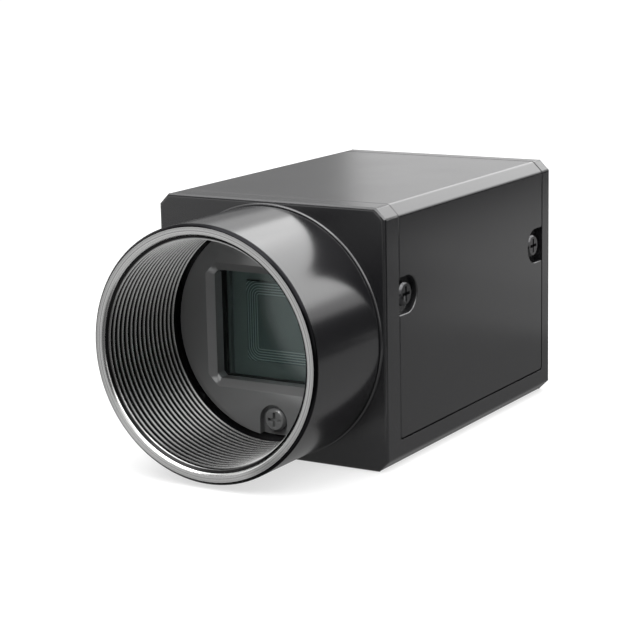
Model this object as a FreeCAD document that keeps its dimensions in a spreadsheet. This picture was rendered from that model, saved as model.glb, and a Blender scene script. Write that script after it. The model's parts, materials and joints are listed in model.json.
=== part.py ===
"""Machine vision camera with a C-mount lens ring, a cube housing and a network socket at the back.

Millimetres. +Z is up and the lens ring faces -Y. The origin is the centre of the housing's underside.
Every sub-part is a PartDesign body whose sizes are read from the spreadsheet "size".
"""
import FreeCAD, Part
import math
import os

import Sketcher

SIZES = {
    # Housing, outside: square across, a little wider than the flange of the lens mount
    "housing_length": 42.0,
    "housing_margin": 0.25,
    "corner_chamfer": 1.2,
    "end_round": 0.4,
    # Chassis: front plate, floor and rear wall in one piece
    "front_thickness": 3.0,
    "rear_thickness": 2.2,
    "floor_thickness": 3.0,
    "seam_gap": 0.12,
    "seam_corner_radius": 0.5,
    "seam_edge_break": 0.1,
    # Top cover: roof and both sides in one piece
    "cover_wall": 1.5,
    # Side screws, their notches in the cover and their lugs on the chassis
    "cover_screw_rise": 4.45,
    "notch_radius": 2.05,
    "notch_depth": 1.0,
    "cover_screw_head_radius": 1.4,
    "cover_screw_head_height": 0.75,
    "cover_screw_shank_length": 2.4,
    "lug_thickness": 2.4,
    "lug_length": 4.4,
    "lug_half_height": 2.3,
    "lug_gap": 0.05,
    # Threads and running gaps shared by the small fasteners
    "screw_radius": 0.8,
    "thread_gap": 0.03,
    "clearance_gap": 0.1,
    "slide_gap": 0.05,
    "recess_arm": 0.85,
    "recess_slot": 0.36,
    "recess_depth": 0.5,
    "head_edge_break": 0.25,
    # Lens mount
    "bore_radius": 12.7,
    "mount_wall": 1.3,
    "mount_flange_step": 0.25,
    "mount_flange_proud": 0.5,
    "flange_chamfer": 0.15,
    "root_groove_depth": 0.12,
    "root_groove_width": 0.25,
    "rim_chamfer": 0.3,
    "mouth_chamfer": 0.25,
    "undercut_depth": 0.25,
    "thread_relief": 0.8,
    "thread_pitch": 0.79375,
    "thread_depth": 0.43,
    "thread_crest": 0.1,
    "thread_root": 0.6,
    "spigot_wall": 0.65,
    "seat_depth": 1.5,
    "flange_focal_distance": 17.526,
    # Filter holder, its window and its two screws
    "holder_gap": 0.6,
    "window_side_margin": 4.5,
    "window_web": 1.4,
    "window_corner": 0.5,
    "bevel_width": 0.9,
    "bevel_depth": 0.5,
    "bevel_corner": 1.3,
    "glass_set_back": 1.9,
    "glass_lap": 1.1,
    "glass_thickness": 0.8,
    "holder_frame": 0.8,
    "holder_boss_lip": 0.2,
    "holder_screw_inset": 1.85,
    "holder_notch_radius": 1.75,
    "holder_notch_depth": 0.9,
    "holder_screw_head_radius": 1.35,
    "holder_screw_head_height": 0.75,
    "holder_screw_shank_length": 2.0,
    # Image sensor and the gasket in front of it
    "gasket_wall": 1.0,
    "gasket_thickness": 0.476,
    "window_glass_thickness": 0.4,
    "window_glass_rise": 0.25,
    "window_glass_lap": 0.3,
    "package_side": 1.1,
    "package_end": 1.5,
    "package_wall": 1.2,
    "die_half_width": 5.4,
    "die_half_height": 4.6,
    "die_thickness": 0.4,
    "package_base": 1.074,
    # Circuit boards and what holds them
    "board_thickness": 1.2,
    "board_edge_gap": 0.6,
    "interface_board_gap": 9.1,
    "post_inset": 1.6,
    "post_radius": 1.5,
    "stud_length": 2.6,
    "standoff_flats": 3.0,
    "tapped_depth": 3.0,
    "board_screw_length": 3.6,
    "board_screw_head_radius": 1.4,
    "board_screw_head_height": 0.9,
    # Connector between the sensor board and the main board
    "stack_half_length": 8.0,
    "stack_half_width": 1.9,
    "stack_height_above_edge": 4.6,
    "stack_wall": 1.0,
    "stack_floor": 1.5,
    # Parts on the sensor board and the main board
    "regulator_size": 3.0,
    "regulator_height": 1.0,
    "regulator_spacing": 6.0,
    "regulator_below_edge": 6.9,
    "processor_half": 6.0,
    "processor_height": 1.5,
    "processor_above_floor": 8.5,
    "pad_thickness": 1.0,
    "rib_half_width": 7.0,
    "rib_height": 15.0,
    "rib_thickness": 1.5,
    "memory_width": 8.0,
    "memory_length": 6.0,
    "memory_height": 1.0,
    "memory_spacing": 10.0,
    "memory_below_edge": 7.4,
    "crystal_width": 2.5,
    "crystal_length": 3.2,
    "crystal_height": 0.8,
    "crystal_gap": 2.35,
    "capacitor_width": 0.8,
    "capacitor_length": 1.6,
    "capacitor_height": 0.8,
    "capacitor_spacing": 3.6,
    # Pin header between the main board and the interface board
    "header_spacing": 2.0,
    "header_below_edge": 2.6,
    "header_base_height": 2.0,
    "header_pin": 0.5,
    "header_socket_floor": 1.0,
    "header_wall": 0.75,
    # Parts on the interface board
    "transformer_half_width": 7.0,
    "transformer_length": 9.0,
    "transformer_height": 4.0,
    "transformer_above_floor": 8.5,
    "inductor_size": 4.0,
    "inductor_height": 2.2,
    "inductor_from_middle": 7.5,
    "inductor_gap": 1.1,
    # Network socket
    "socket_above_floor": 0.1,
    "socket_shell": 0.3,
    "socket_side_wall": 2.0,
    "socket_base": 2.5,
    "socket_roof": 1.4,
    "socket_back_wall": 3.1,
    "socket_insert_recess": 0.4,
    "plug_width": 11.9,
    "plug_height": 7.4,
    "plug_depth": 12.5,
    "latch_width": 6.2,
    "latch_height": 2.0,
    "contact_spacing": 1.02,
    "contact_width": 0.35,
    "contact_thickness": 0.25,
    "contact_slot_depth": 0.7,
    "contact_front_wall": 0.8,
    "contact_rise": 1.6,
    "lock_screw_gap": 3.05,
    # Power and signal connector
    "io_from_middle": 4.5,
    "io_flange_gap": 0.2,
    "io_flange_step": 0.7,
    "io_wall": 0.9,
    "io_flange_thickness": 0.8,
    "io_proud": 1.5,
    "io_body_length": 9.0,
    "io_mouth_chamfer": 0.3,
    "io_insulator_length": 4.5,
    "io_pin_radius": 0.35,
    "io_pin_inset": 1.3,
    "io_pin_recess": 1.0,
    "io_nut_wall": 0.4,
    "io_nut_thickness": 2.0,
    # Status light
    "pipe_post_spacing": 3.3,
    "led_width": 1.6,
    "led_height": 0.8,
    "pipe_radius": 1.0,
    "pipe_collar_radius": 1.6,
    "pipe_collar_thickness": 1.0,
    "pipe_gap": 0.2,
    # Mounting threads in the underside
    "base_hole_radius": 1.25,
    "base_hole_depth": 2.4,
    "base_hole_spacing_across": 20.0,
    "base_hole_spacing_along": 24.0,
}

HEADER_COLUMNS = 5
HEADER_ROWS = 2
NETWORK_CONTACTS = 8
IO_OUTER_PINS = 5
CAPACITORS = 5

os.makedirs("parts", exist_ok=True)
doc = FreeCAD.newDocument("machine_vision_camera")
sheet = doc.addObject("Spreadsheet::Sheet", "size")
for row, (name, length) in enumerate(SIZES.items(), start=1):
    sheet.set(f"A{row}", name)
    sheet.set(f"B{row}", str(length))
    sheet.setAlias(f"B{row}", name)
doc.recompute()


# Places in the row frame, as expressions on the spreadsheet

MOUNT_RADIUS = "(size.bore_radius + size.mount_wall)"
MOUNT_FLANGE_RADIUS = f"({MOUNT_RADIUS} + size.mount_flange_step)"
UNDERCUT_RADIUS = "(size.bore_radius + size.undercut_depth)"
SPIGOT_RADIUS = f"({UNDERCUT_RADIUS} + size.spigot_wall)"
HOLDER_RADIUS = "(size.bore_radius - size.holder_gap)"
HOLDER_SCREW_OFFSET = f"({HOLDER_RADIUS} - size.holder_screw_inset)"

FRONT = "(-size.housing_length / 2)"
REAR = "(size.housing_length / 2)"
SIDE = f"({MOUNT_FLANGE_RADIUS} + size.housing_margin)"
AXIS = SIDE
TOP = f"(2 * {AXIS})"
FLOOR = "size.floor_thickness"
FRONT_SEAM = f"({FRONT} + size.front_thickness)"
REAR_SEAM = f"({REAR} - size.rear_thickness)"
INNER_SIDE = f"({SIDE} - size.cover_wall)"
INNER_TOP = f"({TOP} - size.cover_wall)"

COVER_SCREW_HEIGHT = f"({AXIS} + size.cover_screw_rise)"
FRONT_SCREW = f"({FRONT_SEAM} + size.notch_radius)"
REAR_SCREW = f"({REAR_SEAM} - size.notch_radius)"
LUG_OUTER = f"({INNER_SIDE} - size.lug_gap)"
LUG_INNER = f"({LUG_OUTER} - size.lug_thickness)"

SEAT = f"({FRONT} + size.seat_depth)"
GLASS_FRONT = f"({FRONT} + size.glass_set_back)"
GLASS_REAR = f"({GLASS_FRONT} + size.glass_thickness)"
BOSS_REAR = f"({GLASS_REAR} + size.holder_boss_lip)"
WINDOW_HALF_WIDTH = f"({HOLDER_RADIUS} - size.window_side_margin)"
HOLDER_NOTCH_OFFSET = f"({HOLDER_SCREW_OFFSET} - size.holder_notch_radius)"
WINDOW_HALF_HEIGHT = f"({HOLDER_NOTCH_OFFSET} - size.window_web - size.bevel_width)"
GLASS_HALF_WIDTH = f"({WINDOW_HALF_WIDTH} + size.glass_lap)"
GLASS_HALF_HEIGHT = f"({WINDOW_HALF_HEIGHT} + size.glass_lap)"
BOSS_HALF_WIDTH = f"({GLASS_HALF_WIDTH} + size.slide_gap + size.holder_frame)"
BOSS_HALF_HEIGHT = f"({GLASS_HALF_HEIGHT} + size.slide_gap + size.holder_frame)"

WINDOW_FRONT = f"({GLASS_REAR} + size.gasket_thickness)"
PACKAGE_FRONT = f"({WINDOW_FRONT} + size.window_glass_thickness)"
PACKAGE_HALF_WIDTH = f"({WINDOW_HALF_WIDTH} + size.package_side)"
PACKAGE_HALF_HEIGHT = f"({WINDOW_HALF_HEIGHT} + size.package_end)"
SENSOR_PLANE = f"({PACKAGE_FRONT} + size.window_glass_rise)"
RIM = f"({SENSOR_PLANE} - size.flange_focal_distance)"
SENSOR_BOARD_FRONT = f"({SENSOR_PLANE} + size.die_thickness + size.package_base)"
SENSOR_BOARD_REAR = f"({SENSOR_BOARD_FRONT} + size.board_thickness)"

SOCKET_SIDE = "(size.plug_width / 2 + size.socket_side_wall)"
SOCKET_LOW = f"({FLOOR} + size.seam_corner_radius + size.socket_above_floor)"
PLUG_LOW = f"({SOCKET_LOW} + size.socket_base)"
PLUG_HIGH = f"({PLUG_LOW} + size.plug_height)"
SOCKET_HIGH = f"({PLUG_HIGH} + size.latch_height + size.socket_roof)"
INSERT_REAR = f"({REAR} - size.socket_insert_recess)"
CAVITY_FRONT = f"({INSERT_REAR} - size.plug_depth)"
INTERFACE_REAR = f"({CAVITY_FRONT} - size.socket_back_wall)"
INTERFACE_FRONT = f"({INTERFACE_REAR} - size.board_thickness)"
MAIN_BOARD_REAR = f"({INTERFACE_FRONT} - size.interface_board_gap)"
MAIN_BOARD_FRONT = f"({MAIN_BOARD_REAR} - size.board_thickness)"
PAD_FRONT = f"({MAIN_BOARD_REAR} + size.processor_height)"
RIB_FRONT = f"({PAD_FRONT} + size.pad_thickness)"

BOARD_SIDE = f"({INNER_SIDE} - size.board_edge_gap)"
BOARD_LOW = f"({FLOOR} + size.board_edge_gap)"
BOARD_HIGH = f"({INNER_TOP} - size.board_edge_gap)"
POST_SIDE = f"({BOARD_SIDE} - size.post_inset)"
POST_LOW = f"({BOARD_LOW} + size.post_inset)"
POST_HIGH = f"({BOARD_HIGH} - size.post_inset)"
POSTS = [(x, z) for x in (f"(-{POST_SIDE})", POST_SIDE) for z in (POST_LOW, POST_HIGH)]
HEADER_HEIGHT = f"({BOARD_HIGH} - size.header_below_edge)"
HEADER_EDGE = "size.header_pin / 2 + size.header_wall"
HEADER_HALF_WIDTH = f"(size.header_spacing * {(HEADER_COLUMNS - 1) / 2} + {HEADER_EDGE})"
HEADER_HALF_HEIGHT = f"(size.header_spacing * {(HEADER_ROWS - 1) / 2} + {HEADER_EDGE})"
PROCESSOR_HEIGHT = f"({FLOOR} + size.processor_above_floor)"

THREAD_HOLE = "(size.screw_radius + size.thread_gap)"
CLEAR_HOLE = "(size.screw_radius + size.clearance_gap)"

LOCK_OFFSET = f"({SOCKET_SIDE} + size.lock_screw_gap)"
LOCK_HEIGHT = f"(({SOCKET_LOW} + {SOCKET_HIGH}) / 2)"
IO_HEIGHT = f"(({SOCKET_HIGH} + {INNER_TOP}) / 2)"
IO_PLACE = "(-size.io_from_middle)"
IO_FLANGE_RADIUS = f"(({INNER_TOP} - {SOCKET_HIGH}) / 2 - size.io_flange_gap)"
IO_BODY_RADIUS = f"({IO_FLANGE_RADIUS} - size.io_flange_step)"
IO_BORE_RADIUS = f"({IO_BODY_RADIUS} - size.io_wall)"
LIGHT_PLACE = f"({POST_SIDE} - size.pipe_post_spacing)"


def number(expression):
    """The value of an expression on the spreadsheet."""
    return float(sheet.evalExpression(expression))


# Outlines: each draws one closed, fully constrained loop in a sketch

def pin_point(sketch, geometry, point, across, up):
    """Hold a sketch point at two distances from the sketch's origin."""
    for kind, expression in (("DistanceX", across), ("DistanceY", up)):
        rule = Sketcher.Constraint(kind, -1, 1, geometry, point, number(expression))
        sketch.setExpression(f"Constraints[{sketch.addConstraint(rule)}]", expression)


def polygon(sketch, *points):
    """A closed loop of straight lines through points given as expressions."""
    corners = [FreeCAD.Vector(number(across), number(up), 0) for across, up in points]
    first = sketch.GeometryCount
    count = len(corners)
    for k in range(count):
        sketch.addGeometry(Part.LineSegment(corners[k], corners[(k + 1) % count]), False)
    for k in range(count):
        sketch.addConstraint(Sketcher.Constraint("Coincident", first + k, 2, first + (k + 1) % count, 1))
    for k, (across, up) in enumerate(points):
        pin_point(sketch, first + k, 1, across, up)


def rectangle(sketch, left, right, low, high):
    polygon(sketch, (left, low), (right, low), (right, high), (left, high))


def centred(sketch, half_width, half_height):
    rectangle(sketch, f"-{half_width}", half_width, f"-{half_height}", half_height)


def oblong(sketch, across, up, width, height):
    """A rectangle about a middle point."""
    rectangle(sketch, f"{across} - {width} / 2", f"{across} + {width} / 2",
              f"{up} - {height} / 2", f"{up} + {height} / 2")


def chamfered(sketch, left, right, low, high, cut):
    """A rectangle whose four corners are cut off at 45 degrees."""
    polygon(sketch,
            (f"{left} + {cut}", low), (f"{right} - {cut}", low), (right, f"{low} + {cut}"),
            (right, f"{high} - {cut}"), (f"{right} - {cut}", high), (f"{left} + {cut}", high),
            (left, f"{high} - {cut}"), (left, f"{low} + {cut}"))


def circle(sketch, across, up, radius):
    centre = FreeCAD.Vector(number(across), number(up), 0)
    round_edge = Part.Circle(centre, FreeCAD.Vector(0, 0, 1), number(radius))
    geometry = sketch.addGeometry(round_edge, False)
    pin_point(sketch, geometry, 3, across, up)
    rule = Sketcher.Constraint("Radius", geometry, number(radius))
    sketch.setExpression(f"Constraints[{sketch.addConstraint(rule)}]", radius)


def hexagon(sketch, across, up, flats):
    """A hexagon with two flats level, given the distance across its flats."""
    corner = f"({flats}) / sqrt(3)"
    polygon(sketch,
            (f"{across} + {corner}", up),
            (f"{across} + {corner} / 2", f"{up} + ({flats}) / 2"),
            (f"{across} - {corner} / 2", f"{up} + ({flats}) / 2"),
            (f"{across} - {corner}", up),
            (f"{across} - {corner} / 2", f"{up} - ({flats}) / 2"),
            (f"{across} + {corner} / 2", f"{up} - ({flats}) / 2"))


def cross(sketch, across, up):
    """The cross recess of a small screw."""
    arm, half = "size.recess_arm", "size.recess_slot / 2"
    outline = ((arm, f"-{half}"), (arm, half), (half, half), (half, arm), (f"-{half}", arm),
               (f"-{half}", half), (f"-{arm}", half), (f"-{arm}", f"-{half}"), (f"-{half}", f"-{half}"),
               (f"-{half}", f"-{arm}"), (half, f"-{arm}"), (half, f"-{half}"))
    polygon(sketch, *[(f"{across} + {u}", f"{up} + {v}") for u, v in outline])


def tongue(sketch, centre, mouth, radius, upright):
    """A slot with one round end about centre that runs straight on to mouth."""
    across, up = centre
    if upright:
        corners = [(f"{across} - {radius}", mouth), (f"{across} - {radius}", up),
                   (f"{across} + {radius}", up), (f"{across} + {radius}", mouth)]
        inwards = -math.pi / 2 if number(mouth) > number(up) else math.pi / 2
    else:
        corners = [(mouth, f"{up} - {radius}"), (across, f"{up} - {radius}"),
                   (across, f"{up} + {radius}"), (mouth, f"{up} + {radius}")]
        inwards = math.pi if number(mouth) > number(across) else 0
    start, bend_in, bend_out, end = [FreeCAD.Vector(number(u), number(v), 0) for u, v in corners]
    first = sketch.GeometryCount
    sketch.addGeometry(Part.LineSegment(start, bend_in), False)
    sketch.addGeometry(Part.LineSegment(bend_out, end), False)
    sketch.addGeometry(Part.LineSegment(end, start), False)
    middle = FreeCAD.Vector(number(across), number(up), 0)
    round_end = Part.Circle(middle, FreeCAD.Vector(0, 0, 1), number(radius))
    quarter = math.pi / 2
    sketch.addGeometry(Part.ArcOfCircle(round_end, inwards - quarter, inwards + quarter), False)
    starts_at_bend_in = (sketch.Geometry[first + 3].StartPoint - bend_in).Length < 1e-6
    arc_in, arc_out = (1, 2) if starts_at_bend_in else (2, 1)
    for rule in ((first, 2, first + 3, arc_in), (first + 1, 1, first + 3, arc_out),
                 (first + 1, 2, first + 2, 1), (first + 2, 2, first, 1)):
        sketch.addConstraint(Sketcher.Constraint("Coincident", *rule))
    for geometry, point, corner in ((first, 1, corners[0]), (first, 2, corners[1]),
                                    (first + 1, 1, corners[2]), (first + 1, 2, corners[3])):
        pin_point(sketch, geometry, point, *corner)
    kind, reach = ("DistanceY", up) if upright else ("DistanceX", across)
    rule = Sketcher.Constraint(kind, -1, 1, first + 3, 3, number(reach))
    sketch.setExpression(f"Constraints[{sketch.addConstraint(rule)}]", reach)


class Piece:
    """One sub-part: a body whose label is the node's name."""

    def __init__(self, label):
        self.body = doc.addObject("PartDesign::Body", label)
        self.body.Label = label
        self.steps = []

    def origin_item(self, role):
        return next(item for item in self.body.Origin.OriginFeatures if item.Role == role)

    def sketch(self, plane, at, outlines):
        """A sketch parallel to an origin plane, with its own origin at a point given as expressions."""
        name = f"{self.body.Label}_sketch_{len(self.steps) + 1}"
        sketch = self.body.newObject("Sketcher::SketchObject", name)
        sketch.AttachmentSupport = [(self.origin_item(f"{plane}_Plane"), "")]
        sketch.MapMode = "FlatFace"
        x, y, z = at
        local = {"XY": (x, y, z), "XZ": (x, z, f"-{y}"), "YZ": (y, z, x)}[plane]
        for axis, expression in zip("xyz", local):
            sketch.setExpression(f"AttachmentOffset.Base.{axis}", expression)
        for outline, *values in outlines:
            outline(sketch, *values)
        return sketch

    def add(self, kind, name):
        step = self.body.newObject(f"PartDesign::{kind}", f"{self.body.Label}_{name}")
        self.steps.append(step)
        return step

    def extrude(self, kind, name, plane, at, length, outlines):
        """Pad or pocket the outlines from the sketch towards the plane's positive axis."""
        profile = self.sketch(plane, at, outlines)
        step = self.add(kind, name)
        step.Profile = profile
        step.setExpression("Length", length)
        step.Reversed = (plane == "XZ") == (kind == "Pad")
        return step

    def pad(self, name, plane, at, length, *outlines):
        return self.extrude("Pad", name, plane, at, length, outlines)

    def pocket(self, name, plane, at, length, *outlines):
        return self.extrude("Pocket", name, plane, at, length, outlines)

    def slab(self, name, start, end, *outlines):
        """Pad outlines drawn in X and Z from one depth to another along Y."""
        return self.pad(name, "XZ", ("0", start, "0"), f"{end} - {start}", *outlines)

    def hollow(self, name, start, end, *outlines):
        """Cut outlines drawn in X and Z from one depth to another along Y."""
        return self.pocket(name, "XZ", ("0", start, "0"), f"{end} - {start}", *outlines)

    def turn(self, name, plane, at, *points):
        """Turn a profile of (distance along the axis, radius) points about the sketch's level axis."""
        profile = self.sketch(plane, at, [(polygon, *points)])
        step = self.add("Revolution", name)
        step.Profile = profile
        step.ReferenceAxis = (profile, ["H_Axis"])
        step.Angle = 360
        return step

    def dress(self, kind, name, amount, chosen):
        """Fillet or chamfer the edges whose bounding box passes the test."""
        doc.recompute()
        base = self.body.Tip
        edges = [f"Edge{k}" for k, edge in enumerate(base.Shape.Edges, start=1) if chosen(edge.BoundBox)]
        step = self.add(kind, name)
        step.Base = (base, edges)
        step.setExpression("Radius" if kind == "Fillet" else "Size", amount)
        return step

    def repeat(self, name, steps, *moves):
        """Copy steps by a chain of moves: (axis role, spacing, count), or a plane role to mirror in."""
        pattern = self.add("MultiTransform", name)
        pattern.Originals = steps
        pattern.Transformations = [self.transformation(move) for move in moves]
        self.body.Tip = pattern
        return pattern

    def transformation(self, move):
        if isinstance(move, str):
            mirror = doc.addObject("PartDesign::Mirrored", f"{self.body.Label}_mirror")
            mirror.MirrorPlane = (self.origin_item(move), [""])
            return mirror
        axis, spacing, count = move
        line = doc.addObject("PartDesign::LinearPattern", f"{self.body.Label}_line")
        line.Direction = (self.origin_item(axis), [""])
        line.setExpression("Length", f"{spacing} * {count - 1}")
        line.Occurrences = count
        return line


def near(value, *others):
    return all(abs(value - other) < 1e-4 for other in others)


def level_with(expression, *values):
    return near(number(expression), *values)


# The housing

def chassis():
    piece = Piece("chassis")
    piece.slab("block", FRONT, REAR,
               (chamfered, f"-{SIDE}", SIDE, "0", TOP, "size.corner_chamfer"))
    piece.dress("Fillet", "end_edges", "size.end_round",
                lambda box: level_with(FRONT, box.YMin, box.YMax) or level_with(REAR, box.YMin, box.YMax))
    piece.pocket("trough", "YZ", (f"-{SIDE}", "0", "0"), f"2 * {SIDE}",
                 (rectangle, FRONT_SEAM, REAR_SEAM, FLOOR, TOP))
    piece.dress("Fillet", "trough_corners", "size.seam_corner_radius",
                lambda box: level_with(FLOOR, box.ZMin, box.ZMax) and near(box.YMin, box.YMax))
    lug_low = f"{COVER_SCREW_HEIGHT} - size.lug_half_height"
    lug_high = f"{COVER_SCREW_HEIGHT} + size.lug_half_height"
    lugs = [(rectangle, f"-{LUG_OUTER}", f"-{LUG_INNER}", lug_low, lug_high),
            (rectangle, LUG_INNER, LUG_OUTER, lug_low, lug_high)]
    piece.slab("front_lugs", FRONT_SEAM, f"({FRONT_SEAM} + size.lug_length)", *lugs)
    piece.slab("rear_lugs", f"({REAR_SEAM} - size.lug_length)", REAR_SEAM, *lugs)
    posts = [(circle, x, z, "size.post_radius") for x, z in POSTS]
    piece.slab("front_posts", FRONT_SEAM, SENSOR_BOARD_FRONT, *posts)
    piece.slab("rear_posts", INTERFACE_REAR, REAR_SEAM, *posts)
    rib_top = f"({FLOOR} + size.rib_height)"
    piece.slab("heat_rib", RIB_FRONT, f"({RIB_FRONT} + size.rib_thickness)",
               (rectangle, "-size.rib_half_width", "size.rib_half_width", FLOOR, rib_top))
    piece.hollow("mount_seat", FRONT, SEAT, (circle, "0", AXIS, f"{SPIGOT_RADIUS} + size.slide_gap"))
    opening_width = f"({BOSS_HALF_WIDTH} + size.clearance_gap)"
    opening_height = f"({BOSS_HALF_HEIGHT} + size.clearance_gap)"
    piece.hollow("holder_opening", SEAT, FRONT_SEAM,
                 (rectangle, f"-{opening_width}", opening_width,
                  f"{AXIS} - {opening_height}", f"{AXIS} + {opening_height}"))
    piece.hollow("holder_screw_holes", SEAT, FRONT_SEAM,
                 *[(circle, "0", f"{AXIS} {sign} {HOLDER_SCREW_OFFSET}", THREAD_HOLE) for sign in "+-"])
    piece.pocket("lug_holes", "YZ", (f"-{INNER_SIDE}", "0", "0"), f"2 * {INNER_SIDE}",
                 *[(circle, y, COVER_SCREW_HEIGHT, THREAD_HOLE) for y in (FRONT_SCREW, REAR_SCREW)])
    post_holes = [(circle, x, z, THREAD_HOLE) for x, z in POSTS]
    piece.hollow("front_post_holes", f"({SENSOR_BOARD_FRONT} - size.stud_length - size.clearance_gap)",
                 SENSOR_BOARD_FRONT, *post_holes)
    piece.hollow("rear_post_holes", INTERFACE_REAR, f"({INTERFACE_REAR} + size.tapped_depth)", *post_holes)
    piece.hollow("socket_opening", REAR_SEAM, REAR,
                 (rectangle, f"-{SOCKET_SIDE} - size.slide_gap", f"{SOCKET_SIDE} + size.slide_gap",
                  f"{SOCKET_LOW} - size.slide_gap", f"{SOCKET_HIGH} + size.slide_gap"))
    piece.hollow("connector_holes", REAR_SEAM, REAR,
                 (circle, IO_PLACE, IO_HEIGHT, f"{IO_BODY_RADIUS} + size.slide_gap"),
                 (circle, LIGHT_PLACE, IO_HEIGHT, "size.pipe_radius + size.slide_gap"),
                 *[(circle, f"{sign}{LOCK_OFFSET}", LOCK_HEIGHT, "size.screw_radius") for sign in ("", "-")])
    piece.pocket("base_holes", "XY", ("0", "0", "0"), "size.base_hole_depth",
                 *[(circle, f"{across}size.base_hole_spacing_across / 2",
                    f"{along}size.base_hole_spacing_along / 2", "size.base_hole_radius")
                   for across in ("", "-") for along in ("", "-")])
    return piece


def top_cover():
    piece = Piece("top_cover")
    start = f"({FRONT_SEAM} + size.seam_gap)"
    end = f"({REAR_SEAM} - size.seam_gap)"
    lower_edge = f"({FLOOR} + size.seam_gap)"
    cut = "size.corner_chamfer"
    piece.slab("wall", start, end,
               (polygon, (f"-{SIDE}", lower_edge), (f"-{INNER_SIDE}", lower_edge),
                (f"-{INNER_SIDE}", INNER_TOP), (INNER_SIDE, INNER_TOP),
                (INNER_SIDE, lower_edge), (SIDE, lower_edge),
                (SIDE, f"{TOP} - {cut}"), (f"{SIDE} - {cut}", TOP),
                (f"-{SIDE} + {cut}", TOP), (f"-{SIDE}", f"{TOP} - {cut}")))
    piece.dress("Fillet", "lower_corners", "size.seam_corner_radius",
                lambda box: level_with(lower_edge, box.ZMin, box.ZMax) and near(box.YMin, box.YMax))
    notches = [(tongue, (y, COVER_SCREW_HEIGHT), mouth, "size.notch_radius", False)
               for y, mouth in ((FRONT_SCREW, FRONT_SEAM), (REAR_SCREW, REAR_SEAM))]
    for side, x in (("left", f"-{SIDE}"), ("right", f"({SIDE} - size.notch_depth)")):
        piece.pocket(f"{side}_notches", "YZ", (x, "0", "0"), "size.notch_depth", *notches)
    piece.pocket("screw_holes", "YZ", (f"-{SIDE}", "0", "0"), f"2 * {SIDE}",
                 *[(circle, y, COVER_SCREW_HEIGHT, CLEAR_HOLE) for y in (FRONT_SCREW, REAR_SCREW)])
    piece.dress("Chamfer", "seam_edges", "size.seam_edge_break", outer_edge_test(start, end))
    return piece


def outer_edge_test(start, end):
    """Chooses the outside edges of the cover's two ends and of its screw notches."""
    side, roof_start = number(SIDE), number(f"{TOP} - size.corner_chamfer")

    def chosen(box):
        on_side = near(abs(box.XMin), side) and near(abs(box.XMax), side)
        at_end = level_with(start, box.YMin, box.YMax) or level_with(end, box.YMin, box.YMax)
        over_roof = at_end and box.ZMin > roof_start - 1e-4
        long_edge = box.YLength > number("3 * size.notch_radius")
        return over_roof or (on_side and not long_edge)
    return chosen


def screw(label, plane, at, head_radius, head_height, shank_length, edge_break="size.head_edge_break"):
    """A small cross-recess screw whose head bears on the plane at its sketch's origin."""
    piece = Piece(label)
    body = piece.turn("blank", plane, at,
                      (f"-{shank_length}", "0"), (f"-{shank_length}", "size.screw_radius"),
                      ("0", "size.screw_radius"), ("0", head_radius),
                      (f"{head_height} - {edge_break}", head_radius),
                      (head_height, f"{head_radius} - {edge_break}"), (head_height, "0"))
    return piece, body


def cover_screws():
    bearing = f"({SIDE} - size.notch_depth)"
    recess_floor = f"({bearing} + size.cover_screw_head_height - size.recess_depth)"
    piece, blank = screw("cover_screws", "XZ", (bearing, FRONT_SCREW, COVER_SCREW_HEIGHT),
                         "size.cover_screw_head_radius", "size.cover_screw_head_height",
                         "size.cover_screw_shank_length")
    recess = piece.pocket("recess", "YZ", (recess_floor, FRONT_SCREW, COVER_SCREW_HEIGHT),
                          "size.recess_depth", (cross, "0", "0"))
    piece.repeat("set", [blank, recess], ("Y_Axis", f"({REAR_SCREW} - {FRONT_SCREW})", 2), "YZ_Plane")
    return piece


# The lens side

def lens_mount():
    piece = Piece("lens_mount")
    rim = f"({RIM} - {FRONT})"
    flange = "-size.mount_flange_proud"
    groove = f"{flange} - size.root_groove_width"
    groove_radius = f"{MOUNT_RADIUS} - size.root_groove_depth"
    piece.turn("ring", "YZ", ("0", FRONT, AXIS),
               (rim, "size.bore_radius + size.mouth_chamfer"), (rim, f"{MOUNT_RADIUS} - size.rim_chamfer"),
               (f"{rim} + size.rim_chamfer", MOUNT_RADIUS), (groove, MOUNT_RADIUS),
               (groove, groove_radius), (flange, groove_radius),
               (flange, f"{MOUNT_FLANGE_RADIUS} - size.flange_chamfer"),
               (f"{flange} + size.flange_chamfer", MOUNT_FLANGE_RADIUS),
               ("0", MOUNT_FLANGE_RADIUS), ("0", SPIGOT_RADIUS),
               ("size.seat_depth", SPIGOT_RADIUS), ("size.seat_depth", UNDERCUT_RADIUS),
               ("-size.thread_relief", UNDERCUT_RADIUS), ("-size.thread_relief", "size.bore_radius"),
               (f"{rim} + size.mouth_chamfer", "size.bore_radius"))
    first = f"({RIM} + size.mouth_chamfer + size.thread_depth + size.thread_crest / 2)"
    last = f"({FRONT} - size.thread_relief - size.thread_root / 2)"
    crest_radius = "size.bore_radius - size.thread_depth"
    foot_radius = "size.bore_radius + size.mouth_chamfer"
    ridge = piece.turn("thread_ridge", "YZ", ("0", first, AXIS),
                       ("-size.thread_root / 2", foot_radius), ("-size.thread_root / 2", "size.bore_radius"),
                       ("-size.thread_crest / 2", crest_radius), ("size.thread_crest / 2", crest_radius),
                       ("size.thread_root / 2", "size.bore_radius"), ("size.thread_root / 2", foot_radius))
    ridges = 1 + math.floor(number(f"({last} - {first}) / size.thread_pitch"))
    piece.repeat("thread", [ridge], ("Y_Axis", "size.thread_pitch", ridges))
    return piece


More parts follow.
